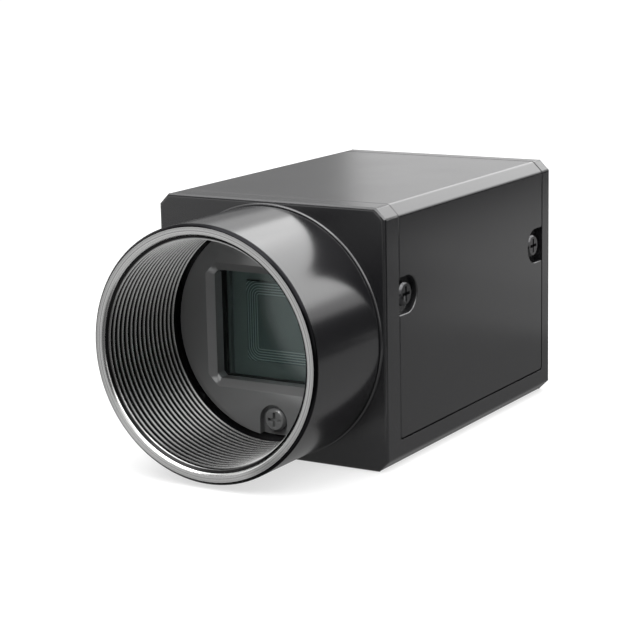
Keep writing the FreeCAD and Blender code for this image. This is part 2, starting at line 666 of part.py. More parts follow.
def filter_holder():
    piece = Piece("filter_holder")
    about_axis = ("0", FRONT, AXIS)
    piece.slab("disc", FRONT, SEAT, (circle, "0", AXIS, HOLDER_RADIUS))
    piece.pad("boss", "XZ", ("0", SEAT, AXIS), f"{BOSS_REAR} - {SEAT}",
              (centred, BOSS_HALF_WIDTH, BOSS_HALF_HEIGHT))
    width, height = WINDOW_HALF_WIDTH, WINDOW_HALF_HEIGHT
    inner = (chamfered, f"-{width}", width, f"-{height}", height, "size.window_corner")
    piece.pocket("window", "XZ", about_axis, f"{BOSS_REAR} - {FRONT}", inner)
    outer_width = f"({width} + size.bevel_width)"
    outer_height = f"({height} + size.bevel_width)"
    wide = piece.sketch("XZ", about_axis, [(chamfered, f"-{outer_width}", outer_width,
                                            f"-{outer_height}", outer_height, "size.bevel_corner")])
    bevel = piece.add("SubtractiveLoft", "bevel")
    bevel.Profile = wide
    narrow = piece.sketch("XZ", ("0", f"({FRONT} + size.bevel_depth)", AXIS), [inner])
    bevel.Sections = [(narrow, [""])]
    bevel.Ruled = True
    piece.body.Tip = bevel
    seat_width = f"({GLASS_HALF_WIDTH} + size.slide_gap)"
    seat_height = f"({GLASS_HALF_HEIGHT} + size.slide_gap)"
    piece.pocket("glass_seat", "XZ", ("0", GLASS_FRONT, AXIS), f"{BOSS_REAR} - {GLASS_FRONT}",
                 (centred, seat_width, seat_height))
    outside = f"({HOLDER_RADIUS} + size.clearance_gap)"
    ends = [(f"{sign}{HOLDER_SCREW_OFFSET}", f"{sign}{outside}") for sign in ("", "-")]
    piece.pocket("notches", "XZ", about_axis, "size.holder_notch_depth",
                 *[(tongue, ("0", place), mouth, "size.holder_notch_radius", True) for place, mouth in ends])
    piece.pocket("screw_holes", "XZ", about_axis, "size.seat_depth",
                 *[(circle, "0", place, CLEAR_HOLE) for place, _ in ends])
    return piece


def filter_holder_screws():
    bearing = f"({FRONT} + size.holder_notch_depth)"
    low = f"({AXIS} - {HOLDER_SCREW_OFFSET})"
    piece = Piece("filter_holder_screws")
    head_top = "-size.holder_screw_head_height"
    radius = "size.holder_screw_head_radius"
    blank = piece.turn("blank", "YZ", ("0", bearing, low),
                       ("size.holder_screw_shank_length", "0"), (head_top, "0"),
                       (head_top, f"{radius} - size.head_edge_break"),
                       (f"{head_top} + size.head_edge_break", radius), ("0", radius),
                       ("0", "size.screw_radius"), ("size.holder_screw_shank_length", "size.screw_radius"))
    recess = piece.pocket("recess", "XZ", ("0", f"({bearing} - size.holder_screw_head_height)", low),
                          "size.recess_depth", (cross, "0", "0"))
    piece.repeat("pair", [blank, recess], ("Z_Axis", f"(2 * {HOLDER_SCREW_OFFSET})", 2))
    return piece


def filter_glass():
    piece = Piece("filter_glass")
    piece.pad("pane", "XZ", ("0", GLASS_FRONT, AXIS), "size.glass_thickness",
              (centred, GLASS_HALF_WIDTH, GLASS_HALF_HEIGHT))
    return piece


def dust_gasket():
    piece = Piece("dust_gasket")
    outer_width = f"({WINDOW_HALF_WIDTH} + size.gasket_wall)"
    outer_height = f"({WINDOW_HALF_HEIGHT} + size.gasket_wall)"
    piece.pad("frame", "XZ", ("0", GLASS_REAR, AXIS), "size.gasket_thickness",
              (centred, outer_width, outer_height), (centred, WINDOW_HALF_WIDTH, WINDOW_HALF_HEIGHT))
    return piece


# The image sensor

def sensor_window():
    piece = Piece("sensor_window")
    piece.pad("pane", "XZ", ("0", WINDOW_FRONT, AXIS), "size.window_glass_thickness",
              (centred, f"({PACKAGE_HALF_WIDTH} - size.window_glass_lap)",
               f"({PACKAGE_HALF_HEIGHT} - size.window_glass_lap)"))
    return piece


def sensor_package():
    piece = Piece("sensor_package")
    piece.pad("block", "XZ", ("0", PACKAGE_FRONT, AXIS), f"{SENSOR_BOARD_FRONT} - {PACKAGE_FRONT}",
              (centred, PACKAGE_HALF_WIDTH, PACKAGE_HALF_HEIGHT))
    piece.pocket("cavity", "XZ", ("0", PACKAGE_FRONT, AXIS), "(size.window_glass_rise + size.die_thickness)",
                 (centred, f"({PACKAGE_HALF_WIDTH} - size.package_wall)",
                  f"({PACKAGE_HALF_HEIGHT} - size.package_wall)"))
    return piece


def sensor_die():
    piece = Piece("sensor_die")
    piece.pad("chip", "XZ", ("0", SENSOR_PLANE, AXIS), "size.die_thickness",
              (centred, "size.die_half_width", "size.die_half_height"))
    return piece


# Circuit boards

def board(label, front, rear, notched=False):
    """A board across the housing with a clear hole at each post."""
    piece = Piece(label)
    piece.slab("plate", front, rear, (rectangle, f"-{BOARD_SIDE}", BOARD_SIDE, BOARD_LOW, BOARD_HIGH))
    if notched:
        inner = f"{LUG_INNER} - size.board_edge_gap"
        low = f"{COVER_SCREW_HEIGHT} - size.lug_half_height - size.board_edge_gap"
        high = f"{COVER_SCREW_HEIGHT} + size.lug_half_height + size.board_edge_gap"
        piece.hollow("lug_notches", front, rear,
                     (rectangle, inner, SIDE, low, high), (rectangle, f"-{SIDE}", f"-({inner})", low, high))
    piece.hollow("holes", front, rear, *[(circle, x, z, CLEAR_HOLE) for x, z in POSTS])
    return piece


def board_screws(label, bearing, direction):
    """Four screws in the posts; direction is + where the heads stand towards +Y and - towards -Y."""
    piece = Piece(label)
    head, shank = "size.board_screw_head_height", "size.board_screw_length"
    heads = (bearing, f"({bearing} + {head})") if direction == "+" else (f"({bearing} - {head})", bearing)
    shanks = (f"({bearing} - {shank})", bearing) if direction == "+" else (bearing, f"({bearing} + {shank})")
    cut = (f"({heads[1]} - size.recess_depth)", heads[1]) if direction == "+" else \
          (heads[0], f"({heads[0]} + size.recess_depth)")
    piece.slab("heads", *heads, *[(circle, x, z, "size.board_screw_head_radius") for x, z in POSTS])
    piece.slab("shanks", *shanks, *[(circle, x, z, "size.screw_radius") for x, z in POSTS])
    piece.hollow("recesses", *cut, *[(cross, x, z) for x, z in POSTS])
    return piece


def board_standoffs():
    piece = Piece("board_standoffs")
    piece.slab("pillars", SENSOR_BOARD_REAR, MAIN_BOARD_FRONT,
               *[(hexagon, x, z, "size.standoff_flats") for x, z in POSTS])
    piece.slab("studs", f"({SENSOR_BOARD_FRONT} - size.stud_length)", SENSOR_BOARD_REAR,
               *[(circle, x, z, "size.screw_radius") for x, z in POSTS])
    piece.hollow("tapped_holes", f"({MAIN_BOARD_FRONT} - size.tapped_depth)", MAIN_BOARD_FRONT,
                 *[(circle, x, z, THREAD_HOLE) for x, z in POSTS])
    return piece


def chips(label, front, rear, width, height, places):
    """Flat rectangular components standing between two depths, one at each (x, z) place."""
    piece = Piece(label)
    piece.slab("bodies", front, rear, *[(oblong, x, z, width, height) for x, z in places])
    return piece


def stack_connector():
    """The socket on the sensor board and the plug on the main board that bridge the two."""
    height = f"({BOARD_LOW} + size.stack_height_above_edge)"
    joint = f"(({SENSOR_BOARD_REAR} + {MAIN_BOARD_FRONT}) / 2)"
    slot_floor = f"({SENSOR_BOARD_REAR} + size.stack_floor)"
    outside = (rectangle, "-size.stack_half_length", "size.stack_half_length",
               f"{height} - size.stack_half_width", f"{height} + size.stack_half_width")

    def slot(gap):
        length = f"(size.stack_half_length - size.stack_wall + {gap})"
        width = f"(size.stack_half_width - size.stack_wall + {gap})"
        return (rectangle, f"-{length}", length, f"{height} - {width}", f"{height} + {width}")

    socket = Piece("stack_socket")
    socket.slab("body", SENSOR_BOARD_REAR, joint, outside)
    socket.hollow("slot", slot_floor, joint, slot("size.clearance_gap"))
    plug = Piece("stack_plug")
    plug.slab("body", joint, MAIN_BOARD_FRONT, outside)
    plug.slab("tongue", f"({slot_floor} + size.clearance_gap)", joint, slot("0"))
    return [socket, plug]


def header():
    """The pin header between the main board and the interface board: base, pins and socket."""
    base_end = f"({MAIN_BOARD_REAR} + size.header_base_height)"
    hole_end = f"({INTERFACE_FRONT} - size.header_socket_floor)"
    places = [(f"size.header_spacing * {column - (HEADER_COLUMNS - 1) / 2}",
               f"{HEADER_HEIGHT} + size.header_spacing * {line - (HEADER_ROWS - 1) / 2}")
              for column in range(HEADER_COLUMNS) for line in range(HEADER_ROWS)]
    outside = (rectangle, f"-{HEADER_HALF_WIDTH}", HEADER_HALF_WIDTH,
               f"{HEADER_HEIGHT} - {HEADER_HALF_HEIGHT}", f"{HEADER_HEIGHT} + {HEADER_HALF_HEIGHT}")

    def squares(gap):
        side = f"(size.header_pin + 2 * {gap})"
        return [(oblong, x, z, side, side) for x, z in places]

    base = Piece("header_base")
    base.slab("body", MAIN_BOARD_REAR, base_end, outside)
    base.hollow("pin_holes", MAIN_BOARD_REAR, base_end, *squares("0"))
    pins = Piece("header_pins")
    pins.slab("pins", MAIN_BOARD_REAR, f"({hole_end} - size.clearance_gap)", *squares("0"))
    socket = Piece("header_socket")
    socket_start = f"({base_end} + size.clearance_gap)"
    socket.slab("body", socket_start, INTERFACE_FRONT, outside)
    socket.hollow("pin_holes", socket_start, hole_end, *squares("size.slide_gap"))
    return [base, pins, socket]


def main_board_parts():
    across = "(2 * size.processor_half)"
    beside = "(size.processor_half + size.crystal_gap + size.crystal_width / 2)"
    memory_height = f"({BOARD_HIGH} - size.memory_below_edge)"
    between = f"(({PROCESSOR_HEIGHT} + size.processor_half + {HEADER_HEIGHT} - {HEADER_HALF_HEIGHT}) / 2)"
    return [
        chips("processor", MAIN_BOARD_REAR, PAD_FRONT, across, across, [("0", PROCESSOR_HEIGHT)]),
        chips("thermal_pad", PAD_FRONT, RIB_FRONT, across, across, [("0", PROCESSOR_HEIGHT)]),
        chips("memory_chips", f"({MAIN_BOARD_FRONT} - size.memory_height)", MAIN_BOARD_FRONT,
              "size.memory_width", "size.memory_length",
              [("size.memory_spacing / 2", memory_height), ("-size.memory_spacing / 2", memory_height)]),
        chips("clock_crystal", MAIN_BOARD_REAR, f"({MAIN_BOARD_REAR} + size.crystal_height)",
              "size.crystal_width", "size.crystal_length", [(beside, PROCESSOR_HEIGHT)]),
        chips("main_capacitors", MAIN_BOARD_REAR, f"({MAIN_BOARD_REAR} + size.capacitor_height)",
              "size.capacitor_length", "size.capacitor_width",
              [(f"size.capacitor_spacing * {k - (CAPACITORS - 1) / 2}", between) for k in range(CAPACITORS)]),
    ]


def interface_board_parts():
    transformer_height = f"({FLOOR} + size.transformer_above_floor)"
    over = f"({transformer_height} + (size.transformer_length + size.inductor_size) / 2 + size.inductor_gap)"
    return [
        chips("network_transformer", f"({INTERFACE_FRONT} - size.transformer_height)", INTERFACE_FRONT,
              "(2 * size.transformer_half_width)", "size.transformer_length",
              [("0", transformer_height)]),
        chips("power_inductor", f"({INTERFACE_FRONT} - size.inductor_height)", INTERFACE_FRONT,
              "size.inductor_size", "size.inductor_size",
              [("size.inductor_from_middle", over)]),
        chips("status_led", INTERFACE_REAR, f"({INTERFACE_REAR} + size.led_height)",
              "size.led_width", "size.led_width", [(LIGHT_PLACE, IO_HEIGHT)]),
    ]


# The connectors in the rear wall

def network_socket():
    shell = Piece("socket_shell")
    shell.slab("tube", INTERFACE_REAR, REAR,
               (rectangle, f"-{SOCKET_SIDE}", SOCKET_SIDE, SOCKET_LOW, SOCKET_HIGH))
    inside = (rectangle, f"-{SOCKET_SIDE} + size.socket_shell", f"{SOCKET_SIDE} - size.socket_shell",
              f"{SOCKET_LOW} + size.socket_shell", f"{SOCKET_HIGH} - size.socket_shell")
    shell.hollow("inside", INTERFACE_REAR, REAR, inside)
    insert = Piece("socket_insert")
    insert.slab("block", INTERFACE_REAR, INSERT_REAR, inside)
    insert.hollow("plug_cavity", CAVITY_FRONT, INSERT_REAR,
                  (rectangle, "-size.plug_width / 2", "size.plug_width / 2", PLUG_LOW, PLUG_HIGH))
    insert.hollow("latch_slot", CAVITY_FRONT, INSERT_REAR,
                  (rectangle, "-size.latch_width / 2", "size.latch_width / 2", PLUG_HIGH,
                   f"{PLUG_HIGH} + size.latch_height"))
    contacts = Piece("socket_contacts")
    slot_half = "(size.contact_width / 2 + size.slide_gap)"
    slot_end = f"({INSERT_REAR} - size.contact_front_wall)"
    bend = f"({slot_end} - size.contact_slot_depth)"
    tip = f"({CAVITY_FRONT} + {bend}) / 2"
    middle = [f"size.contact_spacing * {k - (NETWORK_CONTACTS - 1) / 2}" for k in range(NETWORK_CONTACTS)]
    insert.hollow("contact_slots", INTERFACE_REAR, slot_end,
                  *[(rectangle, f"{x} - {slot_half}", f"{x} + {slot_half}",
                     f"{PLUG_LOW} - size.contact_slot_depth", PLUG_LOW) for x in middle])
    low, thick = "-size.contact_slot_depth + size.slide_gap", "size.contact_thickness"
    profile = ((f"{INTERFACE_REAR}", low), (bend, low), (f"{bend} + {thick}", f"{low} + {thick}"),
               (tip, "size.contact_rise"), (f"{tip} - {thick}", f"size.contact_rise - {thick}"),
               (f"{bend} - {thick}", f"{low} + {thick}"), (f"{INTERFACE_REAR}", f"{low} + {thick}"))
    first = f"(-size.contact_spacing * {(NETWORK_CONTACTS - 1) / 2} - size.contact_width / 2)"
    wire = contacts.pad("wire", "YZ", (first, "0", PLUG_LOW), "size.contact_width", (polygon, *profile))
    contacts.repeat("row", [wire], ("X_Axis", "size.contact_spacing", NETWORK_CONTACTS))
    return [shell, insert, contacts]


def io_connector():
    """The round connector: shell, nut, insulator and pins, all about one axis through the rear wall."""
    shell = Piece("io_shell")
    chamfer = "size.io_mouth_chamfer"
    shell.turn("barrel", "YZ", (IO_PLACE, REAR, IO_HEIGHT),
               ("-size.io_body_length", IO_BORE_RADIUS), ("-size.io_body_length", IO_BODY_RADIUS),
               ("0", IO_BODY_RADIUS), ("0", IO_FLANGE_RADIUS),
               ("size.io_flange_thickness", IO_FLANGE_RADIUS), ("size.io_flange_thickness", IO_BODY_RADIUS),
               (f"size.io_proud - {chamfer}", IO_BODY_RADIUS),
               ("size.io_proud", f"{IO_BODY_RADIUS} - {chamfer}"), ("size.io_proud", IO_BORE_RADIUS))
    nut = Piece("io_nut")
    nut.slab("hexagon", f"({REAR_SEAM} - size.io_nut_thickness)", REAR_SEAM,
             (hexagon, IO_PLACE, IO_HEIGHT, f"2 * ({IO_BODY_RADIUS} + size.io_nut_wall)"),
             (circle, IO_PLACE, IO_HEIGHT, f"{IO_BODY_RADIUS} + size.slide_gap"))
    body_end = f"({REAR} - size.io_body_length)"
    insulator_end = f"({body_end} + size.io_insulator_length)"
    about = ["0"] + [f"cos({360 * k / IO_OUTER_PINS:g} deg)" for k in range(IO_OUTER_PINS)]
    above = ["0"] + [f"sin({360 * k / IO_OUTER_PINS:g} deg)" for k in range(IO_OUTER_PINS)]
    pin_circle = f"({IO_BORE_RADIUS} - size.io_pin_inset)"
    places = [(f"{IO_PLACE} + {pin_circle} * {c}", f"{IO_HEIGHT} + {pin_circle} * {s}")
              for c, s in zip(about, above)]
    insulator = Piece("io_insulator")
    insulator.slab("disc", body_end, insulator_end,
                   (circle, IO_PLACE, IO_HEIGHT, f"{IO_BORE_RADIUS} - size.thread_gap"))
    insulator.hollow("pin_holes", body_end, insulator_end,
                     *[(circle, x, z, "size.io_pin_radius + size.thread_gap") for x, z in places])
    pins = Piece("io_pins")
    pins.slab("pins", INTERFACE_REAR, f"({REAR} - size.io_pin_recess)",
              *[(circle, x, z, "size.io_pin_radius") for x, z in places])
    return [shell, nut, insulator, pins]


def light_pipe():
    piece = Piece("light_pipe")
    start = f"({INTERFACE_REAR} - {REAR} + size.led_height + size.pipe_gap)"
    collar = "-size.rear_thickness - size.pipe_collar_thickness"
    piece.turn("rod", "YZ", (LIGHT_PLACE, REAR, IO_HEIGHT),
               (start, "0"), (start, "size.pipe_radius"), (collar, "size.pipe_radius"),
               (collar, "size.pipe_collar_radius"), ("-size.rear_thickness", "size.pipe_collar_radius"),
               ("-size.rear_thickness", "size.pipe_radius"), ("0", "size.pipe_radius"), ("0", "0"))
    return piece


def all_pieces():
    regulator_height = f"({BOARD_HIGH} - size.regulator_below_edge)"
    regulators = [(f"{sign}size.regulator_spacing / 2", regulator_height) for sign in ("-", "")]
    return [
        chassis(), top_cover(), cover_screws(),
        lens_mount(), filter_holder(), filter_holder_screws(), filter_glass(), dust_gasket(),
        sensor_window(), sensor_package(), sensor_die(),
        board("sensor_board", SENSOR_BOARD_FRONT, SENSOR_BOARD_REAR, notched=True),
        chips("voltage_regulators", SENSOR_BOARD_REAR, f"({SENSOR_BOARD_REAR} + size.regulator_height)",
              "size.regulator_size", "size.regulator_size", regulators),
        board_standoffs(), *stack_connector(),
        board("main_board", MAIN_BOARD_FRONT, MAIN_BOARD_REAR),
        board_screws("main_board_screws", MAIN_BOARD_REAR, "+"), *main_board_parts(), *header(),
        board("interface_board", INTERFACE_FRONT, INTERFACE_REAR),
        board_screws("interface_board_screws", INTERFACE_FRONT, "-"), *interface_board_parts(),
        *network_socket(), *io_connector(), light_pipe(),
    ]


pieces = all_pieces()
doc.recompute()
for item in doc.Objects:
    if "Invalid" in item.State or "Error" in item.State:
        raise RuntimeError(f"{item.Label} failed: {item.State}")
for piece in pieces:
    shape = piece.body.Shape
    if shape.isNull() or not shape.isValid():
        raise RuntimeError(f"{piece.body.Label} has no valid shape")
for piece in pieces:
    piece.body.Shape.exportStep(f"parts/{piece.body.Label}.step")
    print(piece.body.Label, len(piece.body.Shape.Solids), round(piece.body.Shape.Volume, 3))
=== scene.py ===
"""Machine vision camera: its finishes, lens thread, softened edges and a small studio.

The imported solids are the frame. A piece whose edges catch the light is a copy with softened edges
that stands for its solid, the lens thread is modelled here, and the rest keep their solids and get
a finish. Lengths are metres in the row frame: +Z is up and the lens ring faces -Y.
"""

import json
import math

import bpy
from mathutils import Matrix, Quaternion, Vector


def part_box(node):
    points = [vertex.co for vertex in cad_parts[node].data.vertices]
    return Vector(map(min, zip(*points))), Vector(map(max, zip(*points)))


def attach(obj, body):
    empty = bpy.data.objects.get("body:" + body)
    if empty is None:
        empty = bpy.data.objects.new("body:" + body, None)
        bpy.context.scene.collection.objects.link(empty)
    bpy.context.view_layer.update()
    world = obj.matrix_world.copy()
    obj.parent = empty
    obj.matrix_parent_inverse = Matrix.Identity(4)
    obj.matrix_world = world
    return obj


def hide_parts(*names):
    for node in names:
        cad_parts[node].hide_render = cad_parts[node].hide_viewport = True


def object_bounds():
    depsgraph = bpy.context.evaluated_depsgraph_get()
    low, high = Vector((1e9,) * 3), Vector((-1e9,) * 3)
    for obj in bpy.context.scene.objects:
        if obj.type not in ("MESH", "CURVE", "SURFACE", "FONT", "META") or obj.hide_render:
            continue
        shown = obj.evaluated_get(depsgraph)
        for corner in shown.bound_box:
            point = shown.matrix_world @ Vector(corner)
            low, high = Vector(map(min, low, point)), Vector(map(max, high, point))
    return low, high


MM = 0.001

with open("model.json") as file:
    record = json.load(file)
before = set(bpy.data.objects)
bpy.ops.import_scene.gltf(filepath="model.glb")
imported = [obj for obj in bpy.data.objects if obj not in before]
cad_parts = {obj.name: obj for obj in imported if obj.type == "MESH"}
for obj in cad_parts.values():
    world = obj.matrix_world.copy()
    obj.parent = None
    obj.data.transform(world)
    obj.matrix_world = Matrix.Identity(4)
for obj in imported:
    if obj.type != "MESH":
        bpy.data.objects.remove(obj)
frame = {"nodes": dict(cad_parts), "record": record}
nodes = frame["nodes"]
cad_low, cad_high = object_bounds()

# Places and slots read from the frame

mounts = {mount["name"]: mount for mount in frame["record"]["mounts"]}
part_slot = {part["node"]: part["material_slot"] for part in frame["record"]["subparts"]}
ring_low, ring_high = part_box("lens_mount")
housing_low, housing_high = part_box("chassis")
OBJECT_MIDDLE = (cad_low + cad_high) / 2
LENS_AXIS = (ring_low.z + ring_high.z) / 2
RIM_FACE = ring_low.y

# The lens thread: 32 turns to the inch, from the mouth's chamfer to the relief behind it

PITCH = 25.4 * MM / 32
THREAD_DEPTH = 0.43 * MM
CREST_RADIUS = mounts["lens_thread"]["dims"]["r_mm"] * MM
BORE_RADIUS = CREST_RADIUS + THREAD_DEPTH
CREST_WIDTH = 0.1 * MM
ROOT_WIDTH = 0.6 * MM
FOOT_DEPTH = 0.02 * MM
STEPS_A_TURN = 96
SPARE_TURNS = 3
MOUTH_CHAMFER = 0.25 * MM
THREAD_START = RIM_FACE + MOUTH_CHAMFER
RELIEF_START = housing_low.y - 0.8 * MM
THREAD_LENGTH = RELIEF_START - THREAD_START
GAUGE_CONE = 2 * MM

# Where the ring's black skin ends, where a painted dark edge along its rim ends and where painted
# shade in its bore begins: by how far a place lies from the lens axis, and along it

BARE_FACE_END = RIM_FACE + 0.012 * MM
BARE_FACE_RADIUS = BORE_RADIUS + 0.95 * MM
BARE_WALL_RADIUS = BORE_RADIUS + 0.262 * MM
BARE_WALL_END = housing_low.y - 0.25 * MM
PAINTED_DARK_EDGE_END = RIM_FACE + 0.45 * MM
GROOVE_SHADE_START = THREAD_START + 0.45 * MM

# The height over which painted shade on the thread fades out, from dark in its grooves to bright on
# its crests

GROOVE_RADIUS = BORE_RADIUS - 0.24 * MM
RIDGE_RADIUS = CREST_RADIUS + 0.03 * MM

# The housing's long chamfers, a little more than their own 1.2 mm, and how they are rounded

LONG_CHAMFER = 1.25 * MM
LONG_EDGE_LENGTH = 1.5 * MM
LONG_EDGE_ROUNDING = 0.22 * MM

# How much the other edges are rounded, and the least distance that tells two places apart

CASE_EDGE = 0.08 * MM
PRESSED_EDGE = 0.04 * MM
FINE_EDGE = 0.03 * MM
MARGIN = 0.01 * MM

# Faces of the housing with more sides than this are cut up: its inner web is one face of 198 sides

WEB_SIDES = 190

# The sensor chip's face: half the width and height of its plain field, and the pitch of its rings

CHIP_FIELD = (3.7 * MM, 2.9 * MM)
SEAL_RING_PITCH = 0.30 * MM

# The size of the slow changes over an anodised face, and the refraction of its oxide

CLOUD_SIZE = 9 * MM
OXIDE_IOR = 1.75

# The studio. Angles are degrees: azimuth turns from +X to +Y, and elevation rises from level

VIEW_AZIMUTH, VIEW_ELEVATION, VIEW_ROLL = 30.985 - 90, 12.102, -1.18
VIEW_DISTANCE = 233.27 * MM
VIEW_OFFSET = Vector((-1.79, -1.38, -1.59)) * MM
VIEW_LENS, VIEW_SENSOR = 112.55, 36.0
FLOOR_LEVEL = -0.05 * MM
FLOOR_CARD_LEVEL = -0.02 * MM
FLOOR_GLOW = 0.64
ROOM_LIGHT = 0.4
LAMP_DISTANCE = 1.0

# Left, right, front and back ends of each card on the floor, in metres, and its shade

FLOOR_CARDS = {
    "front_floor_card": (0.0, 0.40, -0.30, -0.042, 0.15),
    "left_floor_card": (-0.14, 0.0, -0.20, -0.056, 0.52),
    "side_floor_card": (0.0, 0.062, -0.036, 0.050, 0.28),
    "rear_floor_card": (0.0, 0.062, 0.050, 0.085, 0.45),
    "back_floor_card": (0.0, 0.088, 0.085, 0.20, 0.55),
    "far_floor_card": (0.062, 0.40, -0.036, 0.085, 0.0),
    "corner_floor_card": (0.088, 0.40, 0.085, 0.40, 0.0),
}

BLACK = (0, 0, 0, 1)
WHITE = (1, 1, 1, 1)

# A mix node holds one set of sockets for each kind of value, so they are named by their places

FACTOR = 0
VALUE_A, VALUE_B = 2, 3
COLOUR_A, COLOUR_B, COLOUR_OUT = 6, 7, 2


# Small helpers for meshes

def only(piece):
    """Selects one piece and makes it the one that operators work on."""
    bpy.ops.object.select_all(action="DESELECT")
    piece.select_set(True)
    bpy.context.view_layer.objects.active = piece


def edit(piece):
    """Opens a piece in edit mode with everything on it selected."""
    only(piece)
    bpy.ops.object.mode_set(mode="EDIT")
    bpy.ops.mesh.select_all(action="SELECT")


def close():
    """Leaves edit mode."""
    bpy.ops.object.mode_set(mode="OBJECT")


def pick(piece, kind, wanted):
    """Opens a piece in edit mode with only the wanted parts of one kind: VERT, EDGE or FACE."""
    edit(piece)
    bpy.ops.mesh.select_mode(type=kind)
    bpy.ops.mesh.select_all(action="DESELECT")
    close()
    mesh = piece.data
    for part in {"VERT": mesh.vertices, "EDGE": mesh.edges, "FACE": mesh.polygons}[kind]:
        part.select = wanted(part)
    bpy.ops.object.mode_set(mode="EDIT")


def add_plane(name, size=1, location=(0, 0, 0)):
    bpy.ops.object.select_all(action="DESELECT")
    bpy.ops.mesh.primitive_plane_add(size=size, location=location)
    made = bpy.context.object
    made.name = name
    return made


def apply_modifier(piece, kind, **settings):
    modifier = piece.modifiers.new(kind.lower(), kind)
    for name, value in settings.items():
        setattr(modifier, name, value)
    only(piece)
    bpy.ops.object.modifier_apply(modifier=modifier.name)


def merged_copy(name, solid, most_sides=None):
    """A copy of a solid whose loose triangles are joined into whole faces.

    A face with more than most_sides sides is cut into convex ones, so that softening keeps its
    openings open.
    """
    mesh = nodes[solid].data.copy()
    mesh.materials.clear()
    piece = bpy.data.objects.new(name, mesh)
    bpy.context.scene.collection.objects.link(piece)
    edit(piece)
    bpy.ops.mesh.customdata_custom_splitnormals_clear()
    bpy.ops.mesh.remove_doubles(threshold=0.001 * MM)
    bpy.ops.mesh.dissolve_limited(angle_limit=math.radians(0.5))
    if most_sides:
        bpy.ops.mesh.select_all(action="DESELECT")
        bpy.ops.mesh.select_face_by_sides(number=most_sides, type="GREATER")
        bpy.ops.mesh.vert_connect_concave()
    close()
    return piece


def soften(piece, width):
    """Rounds the sharp edges of a piece and evens its shading."""
    apply_modifier(piece, "BEVEL", limit_method="ANGLE", angle_limit=math.radians(30),
                   width=width, segments=2, use_clamp_overlap=True, harden_normals=False,
                   miter_outer="MITER_ARC")
    only(piece)
    bpy.ops.object.shade_smooth()
    apply_modifier(piece, "WEIGHTED_NORMAL", weight=50, keep_sharp=False)


def dress(piece, finish):
    """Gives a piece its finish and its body."""
    piece.data.materials.clear()
    piece.data.materials.append(finish)
    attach(piece, "root")


def stand_for(piece, solid, finish):
    """Dresses a piece and hides the solid that it stands for."""
    dress(piece, finish)
    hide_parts(solid)


def softened(name, solid, width, finish, most_sides=None):
    """A copy of a solid with its sharp edges rounded, which stands for that solid."""
    piece = merged_copy(name, solid, most_sides)
    soften(piece, width)
    stand_for(piece, solid, finish)


# Small helpers for materials

def feed(target, socket, source):
    """Gives an input a constant, a node's first output, or another output as (node, output)."""
    if isinstance(source, bpy.types.Node):
        source = (source, 0)
    if isinstance(source, tuple) and isinstance(source[0], bpy.types.Node):
        giver, output = source
        target.id_data.links.new(giver.outputs[output], target.inputs[socket])
    else:
        target.inputs[socket].default_value = source


def add_node(tree, kind, inputs=None, **settings):
    made = tree.nodes.new("ShaderNode" + kind)
    for name, value in settings.items():
        setattr(made, name, value)
    for socket, source in (inputs or {}).items():
        feed(made, socket, source)
    return made


def reckon(tree, operation, *given):
    """A math node on what is given."""
    return add_node(tree, "Math", dict(enumerate(given)), operation=operation)


def any_of(tree, kinds):
    """1 for a ray of any of these kinds, else 0."""
    rays = add_node(tree, "LightPath")
    total = 0.0
    for kind in kinds:
        total = reckon(tree, "MAXIMUM", (rays, kind), total)
    return total


def between(tree, value, low, high):
    """Maps 0..1 to low..high."""
    return add_node(tree, "MapRange", {"Value": value, "To Min": low, "To Max": high})


def share(tree, value, low, high):
    """Maps low..high to 0..1."""
    return add_node(tree, "MapRange", {"Value": value, "From Min": low, "From Max": high})


def blend_values(tree, factor, first, second):
    return add_node(tree, "Mix", {FACTOR: factor, VALUE_A: first, VALUE_B: second},
                    data_type="FLOAT")


def blend_colours(tree, factor, first, second):
    """Mixes two colours, each of them three numbers or an earlier mix."""
    made = add_node(tree, "Mix", {FACTOR: factor}, data_type="RGBA")
    for socket, colour in ((COLOUR_A, first), (COLOUR_B, second)):
        feed(made, socket, (*colour, 1) if len(colour) == 3 else colour)
    return made, COLOUR_OUT


def bump(tree, shader, height, depth):
    """Feeds a height, from 0 to 1 and so deep, to a shader's normal."""
    feed(shader, "Normal", add_node(tree, "Bump", {"Distance": depth, "Height": height}))


def finish_shader(name, **values):
    """A material and its shader, with constants set on the shader's own sockets."""
    material = bpy.data.materials.new(name)
    material.use_nodes = True
    shader = material.node_tree.nodes["Principled BSDF"]
    for socket, value in values.items():
        feed(shader, socket.replace("_", " "), value)
    return material, material.node_tree, shader


def effect(name, inputs, outputs):
    """An empty node group with named number inputs and named outputs."""
    tree = bpy.data.node_groups.new(name, "ShaderNodeTree")
    kind = "NodeSocketFloat"
    for socket, value in inputs.items():
        made = tree.interface.new_socket(socket, in_out="INPUT", socket_type=kind)
        made.default_value = value
    for socket in outputs:
        tree.interface.new_socket(socket, in_out="OUTPUT", socket_type=kind)
    return tree, tree.nodes.new("NodeGroupInput"), tree.nodes.new("NodeGroupOutput")


def use_effect(tree, group, values):
    made = tree.nodes.new("ShaderNodeGroup")
    made.node_tree = group
    for socket, value in values.items():
        feed(made, socket, value)
    return made


# Effects that several finishes share

def make_fine_grain():
    """The fine blasted grain of an anodised or moulded face, and slow changes over it."""
    sizes = {"Grain Size": 0.12 * MM, "Cloud Size": CLOUD_SIZE}
    tree, given, result = effect("fine_grain", sizes, ("Height", "Cloud"))
    place = add_node(tree, "TexCoord")
    for size, output, detail, rough in (("Grain Size", "Height", 2, 0.6),
                                        ("Cloud Size", "Cloud", 3, 0.5)):
        scale = reckon(tree, "DIVIDE", 1.0, (given, size))
        noise = add_node(tree, "TexNoise", {"Vector": (place, "Object"), "Scale": scale,
                                            "Detail": detail, "Roughness": rough})
        feed(result, output, (noise, "Fac"))
    return tree


